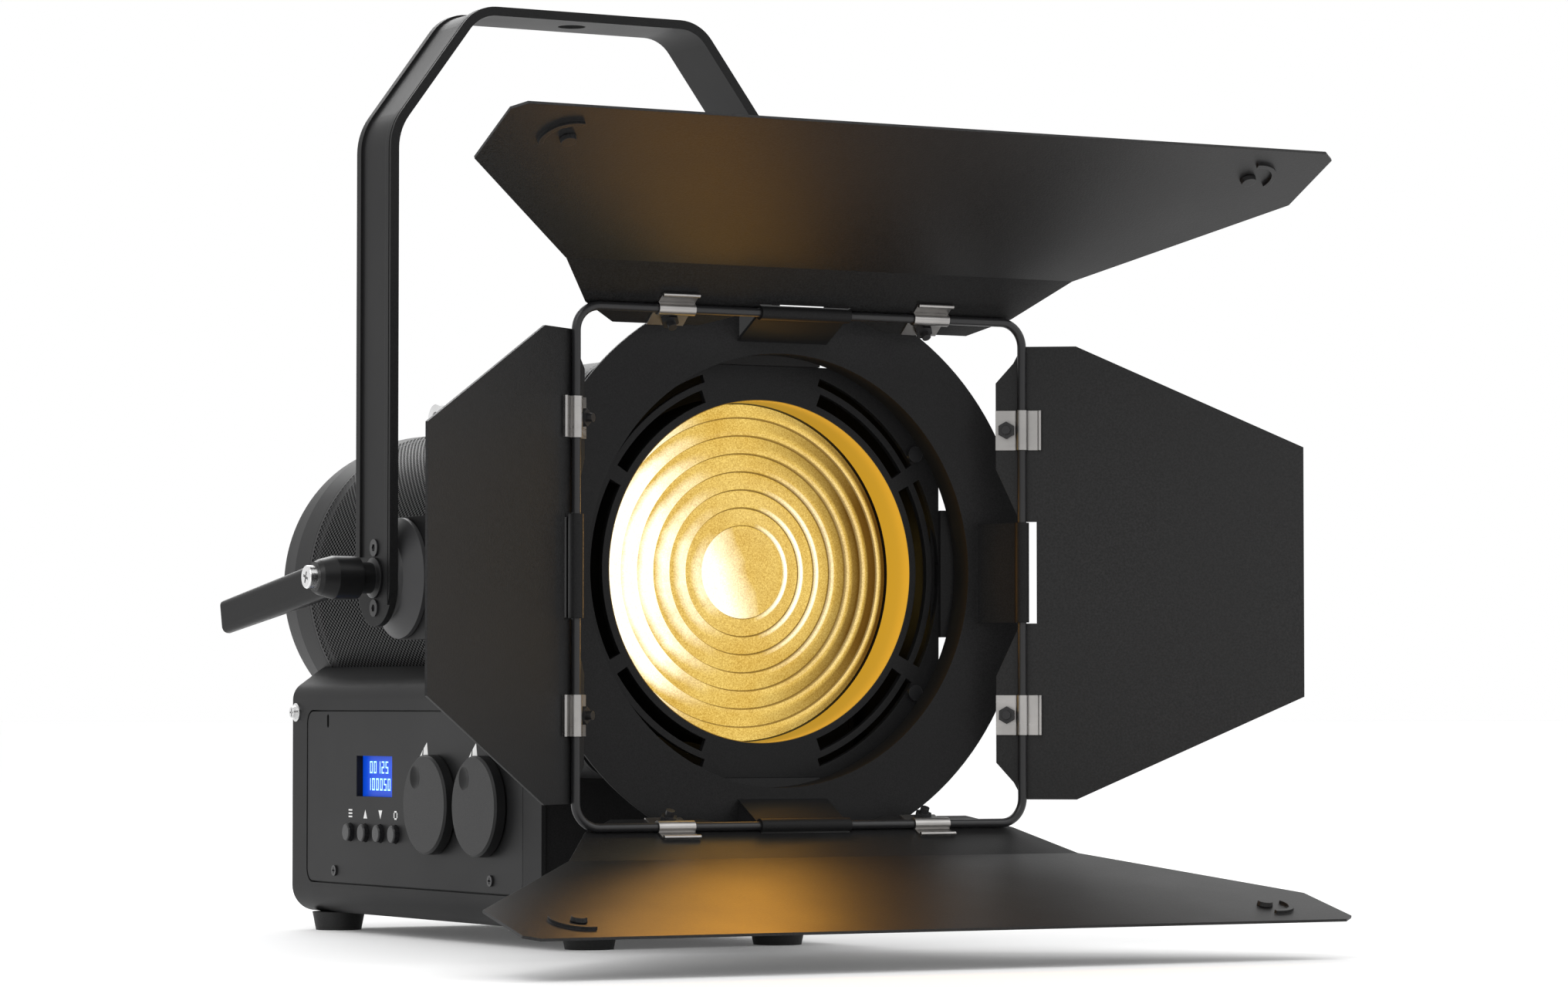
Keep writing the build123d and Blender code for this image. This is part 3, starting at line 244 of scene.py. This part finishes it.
def painted_glow_glass():
    """Stippled lens glass with painted light standing in for the light behind it: white on its -X side, gold
    elsewhere, painted brown shade at the +X risers.
    """
    s = Shader("painted_glow_lens_glass")
    stipple = s.noise(1500.0, 2.0, 0.6)
    wave = s.noise(55.0, 3.0, 0.5)
    rough_normal = s.bump(s.math("MULTIPLY_ADD", wave, 0.8, stipple), 0.8, 0.00014)
    x, _, height, r = s.about_beam()
    side = s.math("DIVIDE", x, s.math("MAXIMUM", r, 0.001))
    ring = s.math("FRACT", s.math("DIVIDE", s.math("SUBTRACT", r, dome_r), ring_width))
    on_rings = s.span(r, dome_r - edge_blend, dome_r)
    on_dome = s.span(r, dome_r - edge_blend, dome_r, 1.0, 0.0)

    def band(low, high, soft):
        """One between two shares of each ring's width, with soft ends."""
        return s.math("MULTIPLY", s.span(ring, low - soft, low), s.span(ring, high, high + soft, 1.0, 0.0))

    # painted light: each ring glows brightest in its inner part, and more of it further to -X
    uneven = s.math("MULTIPLY", s.math("SUBTRACT", wave, 0.5), 0.5)
    left = s.math("ADD", s.span(x, 0.012, -0.062), uneven)
    reach = s.math("MULTIPLY_ADD", left, 0.92, 0.06)
    painted_ring_glow = s.math("MULTIPLY", s.span(s.math("SUBTRACT", reach, ring), -0.12, 0.25), s.span(left, 0.30, 0.75))
    painted_ring_glow = s.math("MULTIPLY", painted_ring_glow, s.span(side, -0.25, -0.75))
    # painted light: the dome glows on its lower -X side
    slant = s.math("MULTIPLY_ADD", height, -0.35, s.math("MULTIPLY", x, -1.0))
    painted_dome_glow = s.span(s.math("MULTIPLY_ADD", wave, 0.010, slant), 0.002, 0.020)
    # painted highlight: bright crest just outside each step on the +X side, fading towards the rim
    fade = s.math("MULTIPLY", s.span(side, 0.25, 0.85), s.span(r, 0.052, 0.034, 0.15, 1.0))
    painted_crest_highlight = s.math("MULTIPLY", band(0.04, 0.18, 0.08), fade)
    painted_ring_light = s.math("MULTIPLY", on_rings, s.math("MAXIMUM", painted_ring_glow, painted_crest_highlight))
    painted_light = s.math("MAXIMUM", painted_ring_light, s.math("MULTIPLY", on_dome, painted_dome_glow))
    # painted shade: dark line at each step, and a dark outer half of the outer rings on the +X side
    line = s.math("MAXIMUM", s.span(ring, 0.93, 0.975), s.span(ring, 0.05, 0.015))
    shaded = s.math("MULTIPLY", s.span(side, 0.05, 0.9), s.span(r, 0.040, 0.062))
    far = s.math("MULTIPLY", band(0.52, 1.0, 0.30), shaded)
    painted_shade = s.math("MULTIPLY", on_rings, s.math("MAXIMUM", s.math("MULTIPLY", line, 0.85), far))
    grain = s.math("MULTIPLY_ADD", stipple, 0.7, s.math("MULTIPLY", wave, 0.5))
    body = s.blend(s.span(grain, 0.42, 0.78), gold, pale_gold)
    # painted shade: brown laid over the glow at the steps and on the +X side
    tone = s.blend(s.math("MULTIPLY", painted_shade, s.span(painted_light, 0.2, 0.8, 1.0, 0.45)), body, painted_shade_brown)
    tone = s.blend(s.math("MULTIPLY", painted_light, s.span(painted_shade, 0.0, 1.0, 1.0, 0.35)), tone, painted_white_light)
    # the lens's emission is painted light, white towards -X and gold elsewhere
    s.set(Base_Color=shade(gold, 0.10) + (1.0,), Roughness=0.22, Specular_IOR_Level=0.2,
          Normal=rough_normal, Emission_Color=tone, Emission_Strength=s.span(stipple, 0.3, 0.7, 0.80, 1.15))
    return s.material


def painted_glow_aluminium(name, colour, **more):
    """Powder coat whose lens barrel, inside the lens radius, has a painted glow standing in for the light it
    catches, brighter towards +X.
    """
    s = coated(name, colour, **more)
    x, y, _, r = s.about_beam()
    barrel_r = lens_r + 0.0008
    barrel_back_y = lens_low.y + 0.004
    in_barrel = s.math("MULTIPLY", s.math("LESS_THAN", r, barrel_r), s.math("LESS_THAN", y, barrel_back_y))
    # painted light: emission on the barrel wall, rising from -X to +X
    strength = s.math("MULTIPLY", in_barrel, s.span(x, -lens_r, lens_r, 0.12, 0.62))
    return s.set(Emission_Color=(0.95, 0.50, 0.03, 1.0), Emission_Strength=strength).material


lcd_mid_y, lcd_mid_z = (lcd_low.y + lcd_high.y) / 2, (lcd_low.z + lcd_high.z) / 2
lcd_half_y, lcd_half_z = 0.0205, 0.0098


def lcd_face():
    """Back-lit blue display with a faint grain, darker towards its rim."""
    s = Shader("lcd_blue")
    place = s.split(s.place)
    y_edge = s.math("ABSOLUTE", s.math("SUBTRACT", place[1], lcd_mid_y))
    z_edge = s.math("ABSOLUTE", s.math("SUBTRACT", place[2], lcd_mid_z))
    rim = s.math("MAXIMUM", s.math("DIVIDE", y_edge, lcd_half_y), s.math("DIVIDE", z_edge, lcd_half_z))
    lit = s.span(rim, 0.55, 1.05, 1.0, 0.62)
    grid = s.noise(2400.0, 1.0)
    glow = s.math("MULTIPLY", lit, s.span(grid, 0.2, 0.8, 0.9, 1.08))
    s.set(Base_Color=(0.0, 0.01, 0.08, 1.0), Roughness=0.35, Specular_IOR_Level=0.15,
          Emission_Color=(0.004, 0.075, 0.72, 1.0), Emission_Strength=glow)
    return s.material


coat = (0.010, 0.010, 0.0103)
mats = {
    "black_steel": powder_coat("black_steel", coat, rough=0.46),
    "black_aluminium": painted_glow_aluminium("black_aluminium", shade(coat, 1.05), rough=0.44),
    "door_steel": powder_coat("door_steel", shade(coat, 0.95), grain=1100.0, depth=0.00009, rough=0.44,
                              contrast=0.7, gloss=0.27),
    "mesh": powder_coat("mesh_coat", shade(coat, 1.6), grain=2200.0, depth=0.00002, rough=0.42, edge=0),
    "stainless": metal("stainless", (0.36, 0.35, 0.34), 0.32, (0.4, 0.4, 12.0)),
    "bright_screw": metal("bright_screw", (0.70, 0.70, 0.70), 0.24, (8.0, 1.0, 1.0)),
    "black_screw": moulded("black_screw", (0.012, 0.012, 0.013), rough=0.34, grain=1900.0),
    "panel": powder_coat("panel_coat", shade(coat, 1.1), grain=1900.0, depth=0.00003, rough=0.42,
                         contrast=0.2),
    "knob_plastic": moulded("knob_plastic", (0.008, 0.008, 0.0083), rough=0.42, gloss=0.25),
    "button_plastic": moulded("button_plastic", (0.010, 0.010, 0.011), rough=0.3),
    "lever_plastic": moulded("lever_plastic", (0.005, 0.005, 0.0053), rough=0.36, grain=1500.0,
                             depth=0.00004, gloss=0.28),
    "disc_plastic": moulded("disc_plastic", (0.03, 0.03, 0.031), rough=0.45),
    "rubber": moulded("rubber", (0.008, 0.008, 0.008), rough=0.62, grain=900.0, depth=0.00005),
    "socket_plastic": moulded("socket_plastic", (0.012, 0.014, 0.02), rough=0.35),
    "potted_supply": moulded("potted_supply", (0.3, 0.31, 0.32), rough=0.5),
    "circuit_board": moulded("circuit_board", (0.01, 0.09, 0.03), rough=0.35),
    "heat_sink": metal("heat_sink", (0.62, 0.63, 0.65), 0.4, (1.0, 9.0, 1.0)),
    "led_array": plain_detail("led_array", (1.0, 0.72, 0.2), 0.4, 2.0),
    "reflector": metal("reflector", (0.85, 0.85, 0.83), 0.15, (1.0, 6.0, 1.0)),
    "rail_steel": metal("rail_steel", (0.55, 0.55, 0.56), 0.25, (1.0, 10.0, 1.0)),
    "fan_plastic": moulded("fan_plastic", (0.015, 0.015, 0.016), rough=0.45),
    "lens_glass": painted_glow_glass(),
    "lcd": lcd_face(),
}
for row in frame["record"]["subparts"]:
    target = nodes[row["node"]]
    target.data.materials.clear()
    target.data.materials.append(mats[row["material_slot"]])


# ---------------------------------------------------------------- mesh building
def piece(name, vertices, faces, material, body="housing", smooth=True, slot=None):
    """A visible piece made from vertices and faces, riding on a body."""
    mesh = bpy.data.meshes.new(name)
    mesh.from_pydata([tuple(v) for v in vertices], [], faces)
    mesh.validate()
    if smooth:
        mesh.shade_smooth()
    mesh.materials.append(material)
    made = bpy.data.objects.new(name, mesh)
    bpy.context.scene.collection.objects.link(made)
    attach(made, body)
    return made


def lathe(name, profile, segments, material, body="housing", sharp_deg=30.0, **more):
    """Closed ring of (radius, y) points turned about the beam axis."""
    turns = np.linspace(0, 2 * math.pi, segments, endpoint=False)
    vertices, faces = [], []
    count = len(profile)
    for turn in turns:
        for r, y in profile:
            vertices.append((r * math.cos(turn), y, beam_z + r * math.sin(turn)))
    for i in range(segments):
        for j in range(count):
            a, b = i * count + j, i * count + (j + 1) % count
            c, d = (i + 1) % segments * count + (j + 1) % count, (i + 1) % segments * count + j
            faces.append((a, b, c, d))
    made = piece(name, vertices, faces, material, body, **more)
    made.data.set_sharp_from_angle(angle=math.radians(sharp_deg))
    return made


# ---------------------------------------------------------------- perforated tube
hole_pitch = 0.0022
hole_share = 0.80
sheet_border = 0.0015
row_h = hole_pitch * math.sqrt(3) / 2
all_rows = int((tube_high.y - tube_low.y - 2 * sheet_border) / row_h)
first_row_y = (tube_low.y + tube_high.y - all_rows * row_h) / 2


def perforated_band(name, first_row, end_row):
    """Sheet rolled to a tube, with staggered rows of six-sided holes and a plain border at the tube's ends."""
    around = round(2 * math.pi * tube_r / hole_pitch)
    lines = [first_row_y + k * row_h for k in range(first_row, end_row + 1)]
    lead = first_row == 0
    if lead:
        lines.insert(0, tube_low.y)
    if end_row == all_rows:
        lines.append(tube_high.y)
    steps = 2 * around
    turn = 2 * math.pi / steps

    def spot(u, y):
        angle = u * turn
        return (tube_r * np.cos(angle), y + 0 * angle, beam_z + tube_r * np.sin(angle))

    grid_u = np.arange(steps, dtype=float)
    vertices = [np.stack(spot(grid_u, np.full(steps, y)), axis=1) for y in lines]
    corners = ((0, 0), (1, 0), (2, 0), (2, 1), (1, 1), (0, 1))
    hexagon = [(math.cos(math.radians(a)), math.sin(math.radians(a))) for a in (210, 270, 330, 30, 90, 150)]
    faces = []
    base = steps * len(lines)
    column = np.arange(around)
    for row in range(end_row - first_row):
        shift = (first_row + row) % 2
        low = (row + lead) * steps
        high = (row + lead + 1) * steps
        centre_u = 2.0 * column + 1.0 + shift
        centre_y = lines[row + lead] + row_h / 2
        for cu, cv in hexagon:
            u = centre_u + cu * hole_share
            y = np.full(around, centre_y + cv * hole_share * hole_pitch / 2)
            vertices.append(np.stack(spot(u, y), axis=1))
        outer = [((2 * column + shift + du) % steps) + (high if dv else low) for du, dv in corners]
        inner = [base + (row * 6 + k) * around + column for k in range(6)]
        for k in range(6):
            n = (k + 1) % 6
            faces.append(np.stack([outer[k], outer[n], inner[n], inner[k]], axis=1))
    ring = np.arange(steps)
    for first in ([0] if lead else []) + ([len(lines) - 2] if end_row == all_rows else []):
        a, b = first * steps + ring, first * steps + (ring + 1) % steps
        faces.append(np.stack([a, b, b + steps, a + steps], axis=1))
    vertices = np.concatenate(vertices).astype(np.float32)
    faces = np.concatenate(faces).astype(np.int32)
    mesh = bpy.data.meshes.new(name)
    mesh.vertices.add(len(vertices))
    mesh.vertices.foreach_set("co", vertices.ravel())
    mesh.loops.add(faces.size)
    mesh.loops.foreach_set("vertex_index", faces.ravel())
    mesh.polygons.add(len(faces))
    mesh.polygons.foreach_set("loop_start", np.arange(0, faces.size, 4, dtype=np.int32))
    mesh.update(calc_edges=True)
    mesh.validate()
    mesh.shade_smooth()
    mesh.materials.append(mats["mesh"])
    made = bpy.data.objects.new(name, mesh)
    bpy.context.scene.collection.objects.link(made)
    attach(made, "housing")
    return made


front_band = perforated_band("perforated_tube_front", 0, all_rows // 2)
rear_band = perforated_band("perforated_tube_rear", all_rows // 2, all_rows)
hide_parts("mesh_tube")
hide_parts("mesh_tube")

# near-black sheet behind the holes, standing in for the shade inside the housing
shade_sheet_r = tube_r - 0.0018
shade_sheet_black = moulded("shade_sheet_black", (0.0015, 0.0015, 0.0015), rough=0.8, gloss=0.0)
lathe("painted_shade_sheet", [(shade_sheet_r, tube_low.y), (shade_sheet_r, tube_high.y - 0.009),
                       (shade_sheet_r - 0.0004, tube_high.y - 0.009), (shade_sheet_r - 0.0004, tube_low.y)],
      128, shade_sheet_black, slot="fan_plastic")

# ---------------------------------------------------------------- stepped lens
def lens_profile():
    """Half section of the lens: dome, then rings that rise at a rounded crest and fall outwards."""
    back = lens_high.y
    flange_y = back - 0.005
    points = []
    dome = 10
    for i in range(dome + 1):
        r = step_radii[0] * i / dome
        points.append((max(r, 0.00005), flange_y - 0.0056 + 0.0022 * (r / step_radii[0]) ** 2))
    for inner, outer in zip(step_radii[:-1], step_radii[1:]):
        painted_crest_highlight = flange_y - 0.0044
        drop = 0.0009 + 0.0023 * outer / lens_r
        round_r = 0.00045
        points.append((inner + 0.0002, painted_crest_highlight + 0.0012))
        for turn in (75, 50, 25, 5):
            points.append((inner + 0.0002 + round_r * (1 - math.sin(math.radians(turn))),
                           painted_crest_highlight + round_r * (1 - math.cos(math.radians(turn)))))
        for share in (0.3, 0.6, 0.85):
            points.append((inner + (outer - inner) * share, painted_crest_highlight + drop * share ** 1.15))
        points.append((outer - 0.00015, painted_crest_highlight + drop))
    points.append((step_radii[-1] + 0.0002, flange_y - 0.0034))
    points.append((0.0722, flange_y - 0.0022))
    points.append((0.0744, flange_y - 0.0006))
    points.append((lens_r - 0.00005, flange_y))
    points.append((lens_r - 0.00005, back))
    points.append((0.00005, back))
    return points


glass = lathe("stepped_lens", lens_profile(), 256, mats["lens_glass"], sharp_deg=38.0, slot="lens_glass")
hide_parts("fresnel_lens")


# ---------------------------------------------------------------- figures and marks
def flat_marks(name, outlines, x, material, slot, thick=0.00012):
    """Thin raised outlines on the panel, given as lists of (y, z) points."""
    vertices, faces = [], []
    for outline in outlines:
        first, count = len(vertices), len(outline)
        vertices += [(x, y, z) for y, z in outline] + [(x - thick, y, z) for y, z in outline]
        faces.append(tuple(first + i for i in range(count)))
        faces.append(tuple(first + count + i for i in reversed(range(count))))
        faces += [(first + i, first + count + i, first + count + (i + 1) % count, first + (i + 1) % count)
                  for i in range(count)]
    return piece(name, vertices, faces, material, smooth=False, slot=slot)


SEGMENTS = {"0": "abcdef", "1": "bc", "2": "abged", "3": "abgcd", "4": "fgbc", "5": "afgcd",
            "6": "afgedc", "7": "abc", "8": "abcdefg", "9": "abcdfg"}


def digit(text, y, z, height):
    """Seven-bar figures read from the left side; y falls as the text runs on."""
    width, bar = height * 0.5, height * 0.11
    spans = {
        "a": (0, height - bar, width, height), "g": (0, (height - bar) / 2, width, (height + bar) / 2),
        "d": (0, 0, width, bar), "f": (0, height / 2, bar, height), "e": (0, 0, bar, height / 2),
        "b": (width - bar, height / 2, width, height), "c": (width - bar, 0, width, height / 2),
    }
    outlines = []
    for index, figure in enumerate(text):
        left = y - index * height * 0.78
        for key in SEGMENTS[figure]:
            y0, z0, y1, z1 = spans[key]
            outlines.append([(left - y0, z + z0), (left - y1, z + z0), (left - y1, z + z1), (left - y0, z + z1)])
    return outlines


figure_h = 0.0058
figures = digit("00125", lcd_mid_y + 0.0125, lcd_mid_z + 0.0014, figure_h)
figures += digit("100050", lcd_mid_y + 0.0145, lcd_mid_z - 0.0068, figure_h)
flat_marks("lcd_figures", figures, lcd_low.x, plain_detail("lcd_text", (0.45, 0.78, 1.0), 0.3, 0.9), "lcd",
           thick=0.00005)

mark_z = button_boxes[0][1].z + 0.0036
button_y = [(low.y + high.y) / 2 for low, high in button_boxes]
half = 0.0021
bar_h = 0.0007


def square_frame(y, z, size, bar):
    """Small open square, drawn as four bars."""
    return [[(y + size, z + size), (y - size, z + size), (y - size, z + size - bar), (y + size, z + size - bar)],
            [(y + size, z - size + bar), (y - size, z - size + bar), (y - size, z - size), (y + size, z - size)],
            [(y + size, z + size), (y + size - bar, z + size), (y + size - bar, z - size), (y + size, z - size)],
            [(y - size + bar, z + size), (y - size, z + size), (y - size, z - size), (y - size + bar, z - size)]]


# three bars, a triangle up, a triangle down and a square, one above each button
marks = [[(button_y[0] + half, mark_z + k), (button_y[0] - half, mark_z + k),
          (button_y[0] - half, mark_z + k - bar_h), (button_y[0] + half, mark_z + k - bar_h)]
         for k in (0.0021, 0.0005, -0.0011)]
for y, base_z, tip_z in ((button_y[1], mark_z - half, mark_z + half), (button_y[2], mark_z + half, mark_z - half)):
    marks.append([(y + half, base_z), (y, tip_z), (y - half, base_z)] if tip_z > base_z
                 else [(y + half, base_z), (y - half, base_z), (y, tip_z)])
marks += square_frame(button_y[3], mark_z, half, 0.0008)
# rising wedge beside each dimmer knob
for low, high in knob_boxes:
    y = (low.y + high.y) / 2 + 0.0135
    z = (low.z + high.z) / 2 + 0.0225
    marks.append([(y + 0.0062, z - 0.0024), (y + 0.0010, z + 0.0030), (y + 0.0026, z - 0.0024)])
    marks.append([(y, z + 0.0036), (y - 0.0036, z + 0.0066), (y - 0.0052, z - 0.0012), (y + 0.0006, z - 0.0024)])
flat_marks("panel_marks", marks, panel_face_x, plain_detail("white_print", (0.75, 0.75, 0.74), 0.5), "panel",
           thick=0.00008)

# ---------------------------------------------------------------- studio
world = bpy.data.worlds.new("studio")
world.use_nodes = True
world.node_tree.nodes["Background"].inputs["Color"].default_value = (1.0, 1.0, 1.0, 1.0)
world.node_tree.nodes["Background"].inputs["Strength"].default_value = 1.0
bpy.context.scene.world = world
bpy.context.scene.view_settings.view_transform = "Standard"

floor_size = 30.0
floor_mesh = bpy.data.meshes.new("floor")
floor_mesh.from_pydata([(-floor_size, -floor_size, 0), (floor_size, -floor_size, 0),
                        (floor_size, floor_size, 0), (-floor_size, floor_size, 0)], [], [(0, 1, 2, 3)])
floor = bpy.data.objects.new("floor", floor_mesh)
bpy.context.scene.collection.objects.link(floor)
pale = Shader("pale_floor")
pale.set(Base_Color=pale.blend(pale.span(pale.noise(3.0), 0.3, 0.7), (0.91, 0.91, 0.91), (0.93, 0.93, 0.93)),
         Roughness=0.7, Specular_IOR_Level=0.1, Emission_Color=(1.0, 1.0, 1.0, 1.0), Emission_Strength=0.08)
floor_mesh.materials.append(pale.material)
floor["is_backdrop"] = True


def area_light(name, place, target, size, energy, colour=(1.0, 1.0, 1.0), shape="SQUARE", spread=None):
    data = bpy.data.lights.new(name, "AREA")
    data.shape, data.size, data.energy, data.color = shape, size, energy, colour
    if spread:
        data.spread = math.radians(spread)
    lamp = bpy.data.objects.new(name, data)
    lamp.location = place
    lamp.rotation_euler = (Vector(target) - Vector(place)).to_track_quat("-Z", "Y").to_euler()
    lamp.visible_camera = False
    bpy.context.scene.collection.objects.link(lamp)
    return lamp


centre = Vector((0.0, 0.0, 0.2))
area_light("key", (-1.6, -1.2, 2.0), centre, 1.4, 19.0)
area_light("fill", (1.6, -1.8, 1.6), centre, 1.6, 10.0)
area_light("rim", (0.4, 2.2, 1.8), centre, 1.2, 22.0)
lens_front_y = lens_low.y
area_light("beam_glow", (0.0, lens_front_y - 0.001, beam_z), (0.0, lens_front_y - 1.0, beam_z), 0.142, 0.27,
           (1.0, 0.42, 0.04), "DISK", 120)

# ---------------------------------------------------------------- camera
camera_data = bpy.data.cameras.new("camera")
camera_data.lens = 117.58
camera_data.sensor_width = 36.0
camera_data.clip_end = 100.0
camera = bpy.data.objects.new("camera", camera_data)
camera.location = (-1.10712, rod_y - 1.97467, beam_z - 0.06056)
camera.rotation_euler = (math.radians(90 + 2.381), 0.0, -math.radians(29.05))
bpy.context.scene.collection.objects.link(camera)
bpy.context.scene.camera = camera

low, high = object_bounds()
